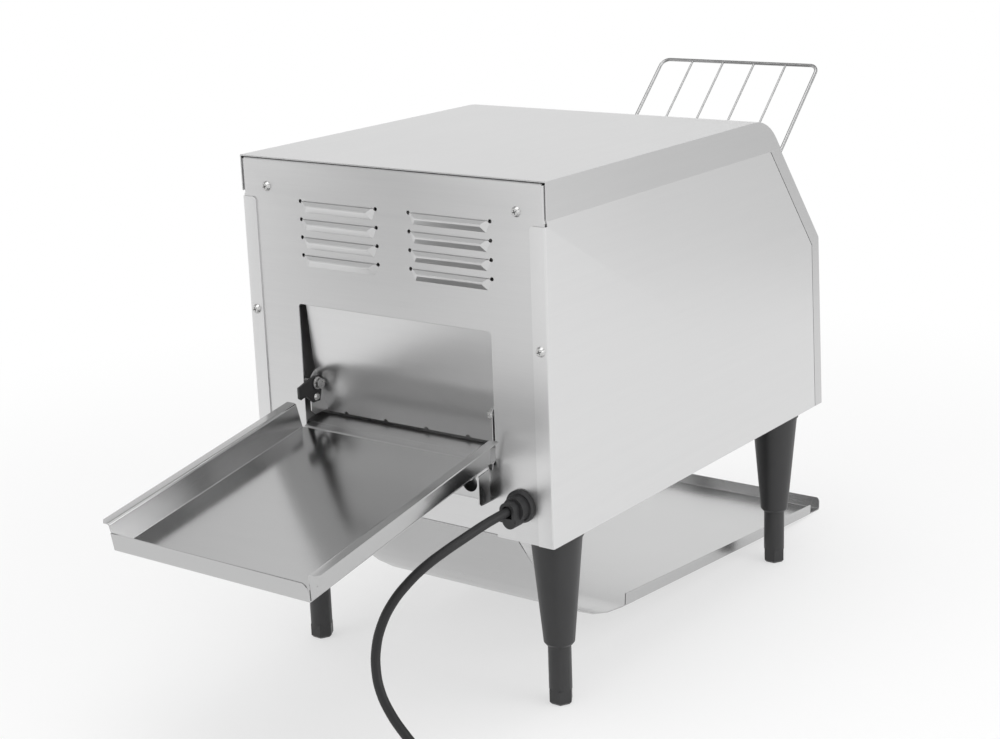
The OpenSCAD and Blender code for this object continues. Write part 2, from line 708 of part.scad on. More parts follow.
// ---------- heaters ----------
module upper_heater_tubes() { color([0.9, 0.93, 0.95]) at_tubes(low = false) rod_x(tube_d, tube_l); }
module lower_heater_tubes() { color([0.9, 0.93, 0.95]) at_tubes(high = false) rod_x(tube_d, tube_l); }
module heater_caps() {
    color(ceramic) both_sides() at_tubes() difference() {
        union() {
            rod_x(cap_d, 2, wall_out + 1);
            rod_x(cap_d - 2, cap_l, wall_out + cap_l/2);
        }
        rod_x(tube_d + 2*fit, 2*(wall_out + 3.1));
    }
}
module upper_reflector() {
    z = tube_z + 13;
    y0 = tube_y0 - tube_pitch/2;
    path = concat([[y0, z - 9]], [for (k = [0:tube_n-1], s = [0, 1]) [y0 + tube_pitch*(k + s*0.5), z + s*5]],
        [[y0 + tube_pitch*tube_n, z], [y0 + tube_pitch*tube_n, z - 9]]);
    color(bright) across(lane_w - 2*touch) sheet(path, [for (p = path) 0], -1);
}
module lower_reflector() {
    z = drive_z - belt_r + 6;
    y0 = tube_y0 - tube_pitch/2 + 8;
    y1 = y0 + tube_pitch*tube_n - 16;
    color(bright) across(lane_w - 2*touch)
        sheet([[y0, z + 7], [y0 + 4, z], [y1 - 4, z], [y1, z + 7]], [0, 3, 3, 0], -1);
}

// ---------- controls ----------
module switch_body(w, d) {
    translate([-w/2, -w/2, -skin_t - d]) cube([w, w, d]);
    translate([0, 0, -skin_t - eps]) cylinder(d = 7.4, h = skin_t + 2);
}
module heat_switch() { color(dark) on_front(knob_gap/2, knob_up) switch_body(34, 22); }
module speed_control() { color([0.25, 0.4, 0.3]) on_front(-knob_gap/2, knob_up) switch_body(30, 16); }
module knob() {
    seat = 0.4;
    difference() {
        union() {
            translate([0, 0, seat]) cylinder(d = knob_d, h = 3);
            translate([0, 0, seat + 3 - eps])
                cylinder(d1 = knob_d - 4, d2 = knob_d - 9, h = knob_h - 3 - seat);
        }
        translate([0, 0, -1]) cylinder(d = 7.4 + 2*fit, h = 1 + 2 + 0.2);
        for (k = [1:11]) rotate([0, 0, 90 + k*30]) translate([knob_d/2 - 1.6, 0, 4])
            cylinder(d = 3, h = knob_h);
        translate([-0.6, knob_d/2 - 12, knob_h - 0.6]) cube([1.2, 12, 1]);
    }
}
module heat_knob() { color(dark) on_front(knob_gap/2, knob_up) knob(); }
module speed_knob() { color(dark) on_front(-knob_gap/2, knob_up) knob(); }
module power_lamp() {
    color([0.95, 0.45, 0.1]) on_front(0, knob_up + 18) {
        cylinder(d = 13, h = 2);
        translate([0, 0, 2]) cylinder(d1 = 10, d2 = 7, h = 3);
        translate([0, 0, -12]) cylinder(d = 10, h = 12);
    }
}
module terminal_block() {
    ways = 3;
    color(ceramic) translate([8 - side_in, leg_rear - 2*bolt_d - 50, pan_z]) difference() {
        cube([22, 12*ways, 16]);
        for (k = [0:ways-1]) translate([6, 6 + 12*k, 6]) {
            cylinder(d = 5, h = 20);
            translate([10, 0, 0]) cylinder(d = 5, h = 20);
        }
    }
}

// ---------- trays ----------
module crumb_tray() {
    wall_h = 12;
    low = pan_z + runner_h + gap;
    front = -foot_front - 1;
    plate_h = 22;
    color(steel) {
        translate([0, 0, low]) difference() {
            translate([-crumb_w/2, front + 1, 0]) cube([crumb_w, crumb_back - front - 1, wall_h]);
            translate([-crumb_w/2 + 0.8, front + 3, 0.8])
                cube([crumb_w - 1.6, crumb_back - front - 4.6, wall_h]);
        }
        on_front(-crumb_w/2 - 4, 1) translate([0, 0, gap]) {
            cube([crumb_w + 8, plate_h, 1]);
            translate([crumb_w/2 - 46, plate_h - 1, 0]) cube([100, 1, 12]);
            translate([crumb_w/2 - 46, plate_h - 5, 11]) cube([100, 5, 1]);
        }
    }
}

module catch_tray() {
    along = [cos(catch_fall), sin(catch_fall)];
    up = left(along);
    low = [-catch_front, catch_low];
    path = [catch_top, catch_bend, low, low + 12*up];
    radii = [0, catch_r, catch_edge, 0];
    // side flanges, along the floor's straight part
    start = 19;
    end = norm(catch_bend - low) - catch_r*tan((catch_run - catch_fall)/2) - 6;
    side = [[start, 0.2], [end, 0.2], [end, catch_h], [start, catch_h - 1.5]];
    color(bright) difference() {
        union() {
            across(catch_w) sheet(path, radii, -catch_t);
            both_sides() across(1, catch_w/2 - 0.5) polygon([for (p = side) low + p[0]*along + p[1]*up]);
        }
        both_sides() translate([catch_w/2 - 5, -catch_front - 6, catch_low + 7.5]) difference() {
            cube([6, 12, 20]);
            translate([0, -1, 0]) rod_y(10, 14);
        }
    }
}

module rear_tray() {
    path = [[rear_y + 0.6, apron_low], [apron_y, apron_low], [apron_y, tray_z], tray_far,
        tray_far + tray_end*[sin(tray_tilt), cos(tray_tilt)]];
    half = tray_w/2;
    splay = 2.4;
    section = [[-half - splay - tray_lip, tray_h], [-half - splay, tray_h], [-half, 0], [half, 0],
        [half + splay, tray_h], [half + splay + tray_lip, tray_h]];
    tab_top = tray_z - 2.6;
    color(steel) difference() {
        union() {
            across(tray_w - 0.4) sheet(path, [0, bend_r, 2, bend_r, 0], tray_t);
            translate([0, apron_y, tray_z]) rotate([90 - tray_tilt, 0, 0]) translate([0, 0, -tray_l + 2])
                linear_extrude(tray_l + 0.6) sheet(section, [0, 1.2, 1.5, 1.5, 1.2, 0], tray_t);
            both_sides() across(1, half - 0.7)
                polygon([[apron_y - 1, apron_low], [apron_y + tab_w - 2, apron_low],
                    [apron_y + tab_w, apron_low + 2], [apron_y + tab_w, tab_top - tab_w*tan(tray_tilt)],
                    [apron_y - 1, tab_top]]);
        }
        // round corner of the end, on the side of the gland
        translate([5 - half, tray_far[0] - 8, tray_far[1] + tray_end - 5]) difference() {
            translate([-6, 0, 0]) cube([6, 20, 10]);
            translate([0, -1, 0]) rod_y(10, 24);
        }
        // corners of the lips
        translate([0, apron_y, tray_z]) rotate([-tray_tilt, 0, 0]) both_sides()
            translate([half + splay + tray_lip + 0.5, tray_l - 2, tray_h - 3]) rotate([0, 0, 45])
                cube([5, 5, 8], center = true);
        for (x = [-stud_x, stud_x]) {
            translate([x, apron_y - 3, stud_z - key_drop]) rod_y(stud_head + 2, 4);
            translate([x - stud_d/2 - gap, apron_y - 3, stud_z - key_drop])
                cube([stud_d + 2*gap, 4, key_drop]);
            translate([x, apron_y - 3, stud_z]) rod_y(stud_d + 2*gap, 4);
        }
    }
}

module tray_studs() {
    color(steel) for (x = [-stud_x, stud_x]) translate([x, 0, stud_z]) {
        translate([0, rear_in - 5, 0]) rod_y(stud_d, apron_y - rear_in + 6);
        translate([0, apron_y + gap, 0]) rod_y(stud_head, 2);
        translate([0, rear_y, 0]) rod_y(9, 2);
        translate([0, rear_in - 4, 0]) rotate([-90, 0, 0]) cylinder(d = 9, h = 4, $fn = 6);
    }
}

// ---------- rack ----------
module wire_rack() {
    r = 8;
    half = rack_w/2;
    foot_s = 14;
    d = frame_wire;
    pin_l = rack_reach - half;
    color(steel) translate([0, rack_pin[0], rack_pin[1]]) rotate([180 - rack_tilt, 0, 0]) {
        both_sides() {
            translate([half, 0, 0]) rotate([-90, 0, 0]) cylinder(d = d, h = rack_l - r);
            translate([half - r, rack_l - r, 0]) rotate_extrude(angle = 90) translate([r, 0]) circle(d = d);
            translate([half, 0, 0]) sphere(d = d);
            rod_x(d, pin_l, half + pin_l/2);
        }
        translate([0, rack_l, 0]) rod_x(d, 2*(half - r) + eps);
        translate([0, foot_s, 0]) rod_x(d, rack_w);
        for (k = [1:4]) translate([-half + k*rack_w/5, foot_s, 0]) rotate([-90, 0, 0])
            cylinder(d = inner_wire, h = rack_l - foot_s);
    }
}

// ---------- legs ----------
module leg() {
    top = under_z - collar_h;
    color(dark) difference() {
        union() {
            translate([0, 0, top]) cylinder(d = collar_d, h = collar_h);
            translate([0, 0, foot_h + 2]) cylinder(d1 = leg_end, d2 = leg_top, h = top - foot_h - 2 + eps);
            translate([0, 0, foot_h]) cylinder(d1 = leg_end - 3, d2 = leg_end, h = 2 + eps);
        }
        translate([0, 0, foot_h - 1]) cylinder(d = foot_d + 2*fit, h = foot_in + 1 + gap);
        translate([0, 0, under_z - 22]) cylinder(d = bolt_d + 2*fit, h = 23);
    }
}
module foot() {
    color(dark) {
        translate([0, 0, 2]) cylinder(d = foot_d + 1.4, h = foot_hex - 2, $fn = 6);
        cylinder(d1 = foot_d - 2.6, d2 = foot_d + 1.4, h = 2 + eps, $fn = 6);
        translate([0, 0, foot_hex - eps]) cylinder(d = foot_d, h = foot_h + foot_in - foot_hex);
    }
}
module leg_bolts() {
    color(steel) for (x = [-leg_x, leg_x], y = [-leg_front, leg_rear]) translate([x, y, 0]) {
        translate([0, 0, under_z - 21]) cylinder(d = bolt_d, h = 32);
        translate([0, 0, pan_z]) cylinder(d = 2*bolt_d, h = 5, $fn = 6);
    }
}
module pan_head() {
    translate([0, -6, 0]) rod_y(4, 6.5);
    rotate([-90, 0, 0]) cylinder(d1 = screw_d, d2 = screw_d - 2.6, h = screw_h);
}
module panel_screws() {
    color(steel) for (x = [-1, 1]) {
        translate([x*high_screw[0], rear_y, high_screw[1]]) pan_head();
        translate([x*side_screw[0], rear_y + skin_t, side_screw[1]]) pan_head();
    }
}

// ---------- cord ----------
module cord_gland() {
    w = 13;                                     // width of the arched nose
    deep = gland_nose - rear_y;
    color(dark) difference() {
        union() {
            translate([gland[0], rear_y, gland[2]]) {
                rod_y(gland_d, 2.5);
                rotate([-90, 0, 0]) translate([0, 0, 2.5 - eps])
                    cylinder(d1 = gland_d, d2 = gland_d - 3, h = 1.5);
                rotate([-90, 0, 0]) cylinder(d1 = gland_body + 2, d2 = gland_body, h = deep - 7);
                translate([0, -14, 0]) rod_y(gland_hole - 0.4, 15);
                translate([0, -skin_t - 5, 0]) rotate([-90, 0, 0]) cylinder(d = gland_d, h = 5, $fn = 6);
            }
            // nose with an arched mouth, and the clamp below it
            translate([gland_bore[0], rear_y + 3, gland_bore[1] + 0.5]) rod_y(w, deep - 3);
            translate([gland_bore[0] - w/2, rear_y + 3, gland_bore[1] - w/2 - 2])
                cube([w, deep - 3, w/2 + 2.5]);
            translate([gland_bore[0] - 1, rear_y + 6, gland_bore[1] - w/2 - 0.8]) rod_y(w - 1, deep - 7);
        }
        translate([gland_bore[0], cord_start, gland_bore[1]]) rod_y(cord_d + 1.6, 20);
        translate([gland_bore[0] - cord_d/2 - 0.8, gland_nose - 4, gland_bore[1] - 5])
            cube([cord_d + 1.6, 5, 5]);
    }
}

// points on a smooth curve through the route's points
function spline(p, i, u) = let (n = len(p) - 1)
    let (a = p[max(i-1, 0)], b = p[i], c = p[min(i+1, n)], d = p[min(i+2, n)])
    0.5*(2*b + u*(c - a) + u*u*(2*a - 5*b + 4*c - d) + u*u*u*(3*b - a - 3*c + d));
// a closed tube with rings across the path; up is a direction that the path never takes
function ring(c, t, up, r, n) = let (s = unit(cross(up, t)), w = cross(t, s))
    [for (k = [0:n-1]) c + r*(cos(360*k/n)*s + sin(360*k/n)*w)];
function tangent(p, i) = unit(p[min(i+1, len(p) - 1)] - p[max(i-1, 0)]);
module tube(p, r, n, up) {
    m = len(p);
    points = [for (i = [0:m-1]) each ring(p[i], tangent(p, i), up, r, n)];
    faces = concat([for (k = [1:n-2]) [0, k, k + 1]],
        [for (i = [0:m-2], k = [0:n-1]) each [[i*n + k, (i+1)*n + k, i*n + (k+1) % n],
            [i*n + (k+1) % n, (i+1)*n + k, (i+1)*n + (k+1) % n]]],
        [for (k = [1:n-2]) [(m-1)*n, (m-1)*n + k + 1, (m-1)*n + k]]);
    polyhedron(points = points, faces = faces);
}
cord_line = concat([CORD[0]], [for (i = [1:len(CORD)-2], u = [0, 0.5]) spline(CORD, i, u)],
    [CORD[len(CORD)-1]]);
module power_cord() { color(dark) tube(cord_line, cord_d/2, 12, [0.31, 0.42, 0.85]); }

// the coil: in on the counter, up a layer in the half turn where it reverses, and out on top
coil_half = coil_turns/2;
coil_rings = 24;
function coil_r(u) = coil_out - coil_step*(coil_half - abs(u - coil_half));
function coil_h(u) = coil_z + coil_step*(1 + sin(360*max(-0.25, min(0.25, u - coil_half))))/2;
function coil_at(u) = let (a = -90 - 360*u)
    [coil_c[0] + coil_r(u)*cos(a), coil_c[1] + coil_r(u)*sin(a), coil_h(u)];
coil_line = let (p = [for (i = [0:coil_turns*coil_rings]) coil_at(i/coil_rings)], last = len(p) - 1)
    concat([p[0] + [cord_d, 0, 0]], p, [p[last] + [cord_d, 0, 0]]);
coil_least = min([for (i = [0:len(coil_line)-1], j = [i + 12:1:len(coil_line)-1])
    norm(coil_line[i] - coil_line[j])]) - cord_d;
module cord_coil() {
    echo(coil_least_gap = coil_least);
    color(dark) tube(coil_line, cord_d/2, 6, [0, 0, 1]);
}
module cord_tie() {
    inner = coil_out - coil_step*coil_half - cord_d/2 - 1.5;
    wide = coil_out + cord_d/2 - inner + gap;
    high = 2*coil_z - 2*tie_t + coil_step;
    color(dark) translate([coil_c[0] - coil_out - cord_d/2 - gap - tie_t, coil_c[1] - tie_w/2, 0])
        difference() {
            cube([wide + 2*tie_t, tie_w, high + 2*tie_t]);
            translate([tie_t, -1, tie_t]) cube([wide, tie_w + 2, high]);
        }
}
module power_plug() {
    c = coil_line[len(coil_line)-1];
    relief = 34;
    body = 22;
    color(dark) translate([c[0], c[1], 0]) {
        translate([0, 0, c[2]]) rotate([0, 90, 0]) cylinder(d1 = cord_d + 2, d2 = 16, h = relief);
        translate([relief - eps, 0, c[2]]) rotate([0, 90, 0]) intersection() {
            cylinder(d = 37, h = body);
            translate([-14, -19, 0]) cube([14 + c[2], 38, body]);
        }
        for (y = [-9.5, 9.5]) translate([relief + body - 2*eps, y, c[2]]) rotate([0, 90, 0])
            cylinder(d = 4.8, h = 19);
    }
}

base_pan();
rear_panel();
side_panel();  // side_panel_left
mirror([1, 0, 0]) side_panel();  // side_panel_right
roof_panel();
front_frame();
inner_wall();  // inner_wall_left
mirror([1, 0, 0]) inner_wall();  // inner_wall_right
outlet_sill();
drop_guide();
deflector_flap();
flap_lever();
lever_rivet();
flap_pivot_bolts();
conveyor_belt();
drive_shaft();
idler_shaft();
shaft_bushes();
drive_motor();
motor_bracket();
motor_sprocket();
drive_chain();
upper_heater_tubes();
lower_heater_tubes();
heater_caps();
upper_reflector();
lower_reflector();
heat_switch();
speed_control();
heat_knob();
speed_knob();
power_lamp();
terminal_block();
crumb_tray();
catch_tray();
rear_tray();
tray_studs();
wire_rack();
translate([leg_x, -leg_front, 0]) leg();  // leg_front_left
translate([-leg_x, -leg_front, 0]) leg();  // leg_front_right
translate([leg_x, leg_rear, 0]) leg();  // leg_rear_left
translate([-leg_x, leg_rear, 0]) leg();  // leg_rear_right
translate([leg_x, -leg_front, 0]) foot();  // foot_front_left
translate([-leg_x, -leg_front, 0]) foot();  // foot_front_right
translate([leg_x, leg_rear, 0]) foot();  // foot_rear_left
translate([-leg_x, leg_rear, 0]) foot();  // foot_rear_right
leg_bolts();
panel_screws();
cord_gland();
power_cord();
cord_coil();
cord_tie();
power_plug();
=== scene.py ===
# Conveyor toaster for a counter, in folded stainless steel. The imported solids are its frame; each section
# below finishes one piece, or a group of like pieces, in the order in which the toaster is put together.
import json
import math

import bmesh
import bpy
from mathutils import Matrix, Vector


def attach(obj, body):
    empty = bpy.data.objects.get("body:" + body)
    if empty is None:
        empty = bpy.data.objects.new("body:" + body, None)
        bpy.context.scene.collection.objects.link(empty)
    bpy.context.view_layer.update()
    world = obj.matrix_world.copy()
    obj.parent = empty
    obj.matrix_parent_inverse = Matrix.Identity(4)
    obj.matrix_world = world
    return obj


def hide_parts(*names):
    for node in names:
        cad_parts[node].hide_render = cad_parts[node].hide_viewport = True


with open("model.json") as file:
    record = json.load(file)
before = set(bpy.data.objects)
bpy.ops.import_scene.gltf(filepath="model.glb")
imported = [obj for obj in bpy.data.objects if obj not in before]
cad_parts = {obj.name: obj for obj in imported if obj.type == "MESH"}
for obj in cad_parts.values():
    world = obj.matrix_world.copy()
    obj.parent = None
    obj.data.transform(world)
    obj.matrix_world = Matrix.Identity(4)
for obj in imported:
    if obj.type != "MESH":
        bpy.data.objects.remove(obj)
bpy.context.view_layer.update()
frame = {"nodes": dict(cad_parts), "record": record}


# ---------- the view ----------
# From behind and to the right, a little above the roof, through a long lens.
CAMERA_AT = (-0.8790, 1.2644, 0.6362)
CAMERA_TURN = ((-0.8092, 0.1309, -0.5727),
               (-0.5865, -0.2375, 0.7744),
               (-0.0346, 0.9625, 0.2690))
lens = bpy.data.cameras.new("camera")
lens.lens = 68.0
lens.sensor_width = 36.0
lens.clip_start = 0.05
lens.clip_end = 60.0
camera = bpy.data.objects.new("camera", lens)
camera.matrix_world = Matrix.Translation(CAMERA_AT) @ Matrix(CAMERA_TURN).to_4x4()
bpy.context.scene.collection.objects.link(camera)
bpy.context.scene.camera = camera
bpy.context.scene.view_settings.view_transform = "Standard"


# ---------- power cord ----------
# A round black lead, 7 mm thick. It droops from its gland to the counter, and the rest is wound in a
# flat two-layer coil behind, held by a strap, with the plug lying against it.
class Field:
    """A shader value that adds its own Math nodes, so that a finish reads as plain arithmetic."""

    def __init__(self, nodes, socket):
        self.nodes, self.socket = nodes, socket

    def sum(self, operation, *values):
        node = self.nodes.tree.nodes.new("ShaderNodeMath")
        node.operation = operation
        for place, value in zip(node.inputs, values):
            self.nodes.feed(place, value)
        return Field(self.nodes, node.outputs[0])

    def __add__(self, other): return self.sum("ADD", self, other)
    def __radd__(self, other): return self.sum("ADD", other, self)
    def __sub__(self, other): return self.sum("SUBTRACT", self, other)
    def __rsub__(self, other): return self.sum("SUBTRACT", other, self)
    def __mul__(self, other): return self.sum("MULTIPLY", self, other)
    def __rmul__(self, other): return self.sum("MULTIPLY", other, self)
    def most(self, other): return self.sum("MAXIMUM", self, other)
    def sine(self): return self.sum("SINE", self)


class Nodes:
    """A node tree that grows by one node a call and gives back what comes out of that node."""

    def __init__(self, tree):
        self.tree = tree

    def feed(self, socket, value):
        if isinstance(value, Field):
            self.tree.links.new(value.socket, socket)
        elif isinstance(value, (tuple, list)) and socket.type == "RGBA":
            socket.default_value = (*value, 1.0)
        else:
            socket.default_value = value

    def node(self, kind, settings=None, out=0, **sockets):
        node = self.tree.nodes.new("ShaderNode" + kind)
        for name, value in (settings or {}).items():
            setattr(node, name, value)
        for name, value in sockets.items():
            label = name.replace("_", " ")
            self.feed(next(s for s in node.inputs if s.name == label and s.enabled), value)
        return Field(self, [s for s in node.outputs if s.enabled][out])

    def ray(self, kind):
        """1 for light that comes as a ray of that kind, and 0 for the rest."""
        return Field(self, self.tree.nodes.new("ShaderNodeLightPath").outputs["Is " + kind + " Ray"])


class Finish(Nodes):
    """A material on the Principled shader; settings that are the same all over go in by name."""

    def __init__(self, name, **settings):
        self.material = bpy.data.materials.new(name)
        self.material.use_nodes = True
        super().__init__(self.material.node_tree)
        self.shader = self.tree.nodes["Principled BSDF"]
        self.set(**settings)

    def set(self, **settings):
        for name, value in settings.items():
            self.feed(self.shader.inputs[name.replace("_", " ")], value)

    def noise(self, size, detail=3.0, scale=(1, 1, 1)):
        """Noise with features of that size in metres, stretched by scale."""
        place = self.node("Mapping", Vector=self.node("TexCoord", out=3), Scale=scale)
        return self.node("TexNoise", Vector=place, Scale=1.0 / size, Detail=detail, Roughness=0.6)

    def shade(self, dark, light, by):
        return self.node("Mix", {"data_type": "RGBA"}, Factor=by, A=dark, B=light)

    def bump(self, height, depth, strength=1.0):
        self.set(Normal=self.node("Bump", Height=height, Distance=depth, Strength=strength))


CORD_D = 0.007
ROUTE_MM = [(-113.8, 219, 169), (-113.8, 229, 169), (-112.5, 238, 168), (-110.4, 250, 166),
            (-106.5, 269, 161.3), (-101.5, 286, 155.7), (-95, 301, 148), (-88.5, 312, 138.6),
            (-81.5, 323, 125), (-77, 330.5, 110), (-75.5, 335.5, 95), (-78, 340, 80.5), (-84, 343.5, 66.5),
            (-94.5, 346, 53.3), (-107, 348, 43), (-122, 350, 33), (-139, 352, 23), (-157, 353.5, 14),
            (-175, 354.5, 8), (-193, 355, 5.3)]
COIL_TURNS, COIL_OUT, COIL_STEP, COIL_LOW = 4.5, 47.0, 7.6, 5.0
COIL_C = (-218.0, 402.0)
COIL_STEPS = 24                  # points in one turn
COIL_TAIL = 7                    # the lead runs on straight by this at each end of the coil


def coil_point(turn):
    """A place on the coil, which winds in on the lower layer, climbs at its middle and winds out above."""
    aside = turn - COIL_TURNS / 2
    radius = COIL_OUT - COIL_STEP * (COIL_TURNS / 2 - abs(aside))
    height = COIL_LOW + COIL_STEP * (1 + math.sin(2 * math.pi * max(-0.25, min(0.25, aside)))) / 2
    angle = -math.pi / 2 - 2 * math.pi * turn
    return (COIL_C[0] + radius * math.cos(angle), COIL_C[1] + radius * math.sin(angle), height)


coil = [coil_point(k / COIL_STEPS) for k in range(int(COIL_TURNS * COIL_STEPS) + 1)]
coil_start, coil_end = ((x + COIL_TAIL, y, z) for x, y, z in (coil[0], coil[-1]))
points = [Vector(p) / 1000 for p in (*ROUTE_MM, coil_start, *coil, coil_end)]
line = bpy.data.curves.new("power_lead", "CURVE")
line.dimensions = "3D"
line.bevel_depth = CORD_D / 2
line.bevel_resolution = 5
line.resolution_u = line.render_resolution_u = 4
line.use_fill_caps = True
spline = line.splines.new("BEZIER")
spline.bezier_points.add(len(points) - 1)
for knot, point in zip(spline.bezier_points, points):
    knot.co = point
    knot.handle_left_type = knot.handle_right_type = "AUTO"
power_lead = bpy.data.objects.new("power_lead", line)
bpy.context.scene.collection.objects.link(power_lead)

sheath = Finish("rubber_sheath", Metallic=0.0, Specular_IOR_Level=0.4)
worn = sheath.noise(0.02, 4)
sheath.set(Base_Color=sheath.shade((0.012, 0.012, 0.013), (0.024, 0.024, 0.025), worn),
           Roughness=0.42 + 0.16 * worn)
sheath.bump(sheath.noise(0.0011, 3), 0.00006)
line.materials.append(sheath.material)
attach(power_lead, "cabinet")
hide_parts("power_cord", "cord_coil")


# ---------- plug, strap and gland ----------
# Moulded black plastic: a mains plug with a tapered neck, the strap round the coil, and the screwed gland
# with its arched mouth that grips the lead where it leaves the rear panel.
body_of = {node: body for body, nodes in frame["record"]["behaviour"]["bodies"].items() for node in nodes}
BROKEN = math.radians(25)        # a corner sharper than this is an edge
FLAT = math.radians(0.4)         # facets that meet at less than this are one face
SAME = 4e-6                      # corners nearer than this are one corner
SLIVER = 2e-6                    # edges shorter than this are dropped


def finished(node, finish, edge=0.0003):
    """A node's piece with its facets joined, its sharp edges broken by that width, and its finish."""
    shape = bmesh.new()
    shape.from_mesh(frame["nodes"][node].data)
    bmesh.ops.remove_doubles(shape, verts=shape.verts, dist=SAME)
    bmesh.ops.dissolve_degenerate(shape, edges=shape.edges, dist=SLIVER)
    bmesh.ops.dissolve_limit(shape, angle_limit=FLAT, verts=shape.verts, edges=shape.edges)
    for face in shape.faces:
        face.smooth = True
    for seam in shape.edges:
        seam.smooth = len(seam.link_faces) == 2 and seam.calc_face_angle(0) < BROKEN
    mesh = bpy.data.meshes.new(node + "_piece")
    shape.to_mesh(mesh)
    shape.free()
    piece = bpy.data.objects.new(node + "_piece", mesh)
    bpy.context.scene.collection.objects.link(piece)
    mesh.materials.append(finish.material)
    if edge:
        rounding = piece.modifiers.new("broken_edges", "BEVEL")
        rounding.width = edge
        rounding.segments = 2
        rounding.limit_method = "ANGLE"
        rounding.angle_limit = BROKEN
        rounding.harden_normals = True
    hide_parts(node)
    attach(piece, body_of[node])
    return piece


def moulded(name, dark, light, roughness=0.42):
    """Moulded plastic: a fine even texture, slightly patchy in tone and gloss."""
    plastic = Finish(name, Metallic=0.0, Specular_IOR_Level=0.5)
    patch = plastic.noise(0.035, 3)
    plastic.set(Base_Color=plastic.shade(dark, light, patch), Roughness=roughness + 0.14 * patch)
    plastic.bump(plastic.noise(0.0009, 2), 0.00004)
    return plastic


black = moulded("black_moulding", (0.020, 0.020, 0.021), (0.031, 0.031, 0.032))
plug = finished("power_plug", black, edge=0.0006)
strap = finished("cord_tie", black)
finished("cord_gland", black, edge=0.0004)


# ---------- counter and light ----------
# A pale counter that runs out to white, lit from all sides by a bright room, with one broad soft lamp
# overhead and one on each side.
COUNTER_HALF = 5.0
GLOW_NEAR, GLOW_FAR = 0.35, 1.1  # the counter's own glow grows between these distances, ...
GLOW_LEAST = 0.55                # ... from this much to all of it
slab = bmesh.new()
bmesh.ops.create_grid(slab, x_segments=1, y_segments=1, size=COUNTER_HALF)
counter_mesh = bpy.data.meshes.new("counter")
slab.to_mesh(counter_mesh)
slab.free()
counter = bpy.data.objects.new("counter", counter_mesh)
bpy.context.scene.collection.objects.link(counter)

stone = Finish("counter", Base_Color=(0.90, 0.90, 0.90), Roughness=0.9, Specular_IOR_Level=0.1)
seen = stone.ray("Camera").most(stone.ray("Glossy")).most(stone.ray("Transmission"))
from_middle = stone.node("VectorMath", {"operation": "DISTANCE"}, Vector=stone.node("TexCoord", out=3))
far = stone.node("MapRange", {"interpolation_type": "SMOOTHSTEP"}, Value=from_middle,
                 From_Min=GLOW_NEAR, From_Max=GLOW_FAR, To_Min=GLOW_LEAST)
glow = stone.node("Emission", Color=(1.0, 1.0, 1.0), Strength=1.0)
over = stone.tree.nodes.new("ShaderNodeMixShader")
stone.feed(over.inputs[0], far * seen)
stone.tree.links.new(stone.shader.outputs[0], over.inputs[1])
stone.tree.links.new(glow.socket, over.inputs[2])
stone.tree.links.new(over.outputs[0], stone.tree.nodes["Material Output"].inputs[0])
counter_mesh.materials.append(stone.material)

CEILING_SHADE = 0.72             # how much less light polished metal mirrors from above, ...
CEILING_FOOT, CEILING_FULL = 0.50, 0.75   # ... and the heights in the sky where that starts and is whole
SOFT_SHADE = 0.38                # how much less light reaches dull surfaces
room = bpy.data.worlds.new("room")
room.use_nodes = True
bpy.context.scene.world = room
air = Nodes(room.node_tree)
up = air.node("SeparateXYZ", Vector=air.node("TexCoord", out=0), out=2)
ceiling = air.node("MapRange", {"interpolation_type": "SMOOTHSTEP"}, Value=up,
                   From_Min=CEILING_FOOT, From_Max=CEILING_FULL, To_Min=0.0, To_Max=CEILING_SHADE)
backdrop = air.tree.nodes["Background"].inputs
air.feed(backdrop["Strength"], 1.0 - SOFT_SHADE * air.ray("Diffuse") - ceiling * air.ray("Glossy"))
air.feed(backdrop["Color"], (1.0, 1.0, 1.0))


def softbox(name, at, size, watts):
    """A square lamp of that size, turned to the toaster's middle."""
    lamp = bpy.data.lights.new(name, "AREA")
    lamp.shape = "SQUARE"
    lamp.size = size
    lamp.energy = watts
    light = bpy.data.objects.new(name, lamp)
    light.location = at
    light.rotation_euler = (Vector(at) - Vector((0, 0.05, 0.2))).to_track_quat("Z", "Y").to_euler()
    bpy.context.scene.collection.objects.link(light)


def mirrored_card(name, at, width, height, tone):
    """A grey card that only mirroring surfaces see, upright and turned to the toaster."""
    sheet = bmesh.new()
    bmesh.ops.create_grid(sheet, x_segments=1, y_segments=1, size=0.5)
    facing = Vector((0, 0.2, at[2])) - Vector(at)
    stand = Matrix.Translation(at) @ facing.to_track_quat("Z", "Y").to_matrix().to_4x4()
    bmesh.ops.transform(sheet, matrix=stand @ Matrix.Diagonal((width, height, 1, 1)), verts=sheet.verts)
    mesh = bpy.data.meshes.new(name)
    sheet.to_mesh(mesh)
    sheet.free()
    paper = Finish(name, Base_Color=(0, 0, 0), Roughness=1.0, Specular_IOR_Level=0.0,
                   Emission_Color=(tone, tone, tone), Emission_Strength=1.0)
    mesh.materials.append(paper.material)
    card = bpy.data.objects.new(name, mesh)
    bpy.context.scene.collection.objects.link(card)
    card.visible_camera = card.visible_diffuse = card.visible_shadow = card.visible_transmission = False


mirrored_card("dark_card", (0.66, 1.02, 0.30), width=0.16, height=0.9, tone=0.2)
mirrored_card("upper_card", (0.96, 1.33, 1.05), width=1.9, height=0.8, tone=0.60)
mirrored_card("right_card", (-0.62, -1.20, 0.20), width=0.9, height=0.9, tone=0.76)
softbox("overhead", (-0.2, 0.3, 2.2), size=1.8, watts=20)
softbox("right", (-2.0, -0.3, 1.1), size=1.2, watts=9)
softbox("left", (1.1, 2.0, 1.2), size=1.0, watts=6)


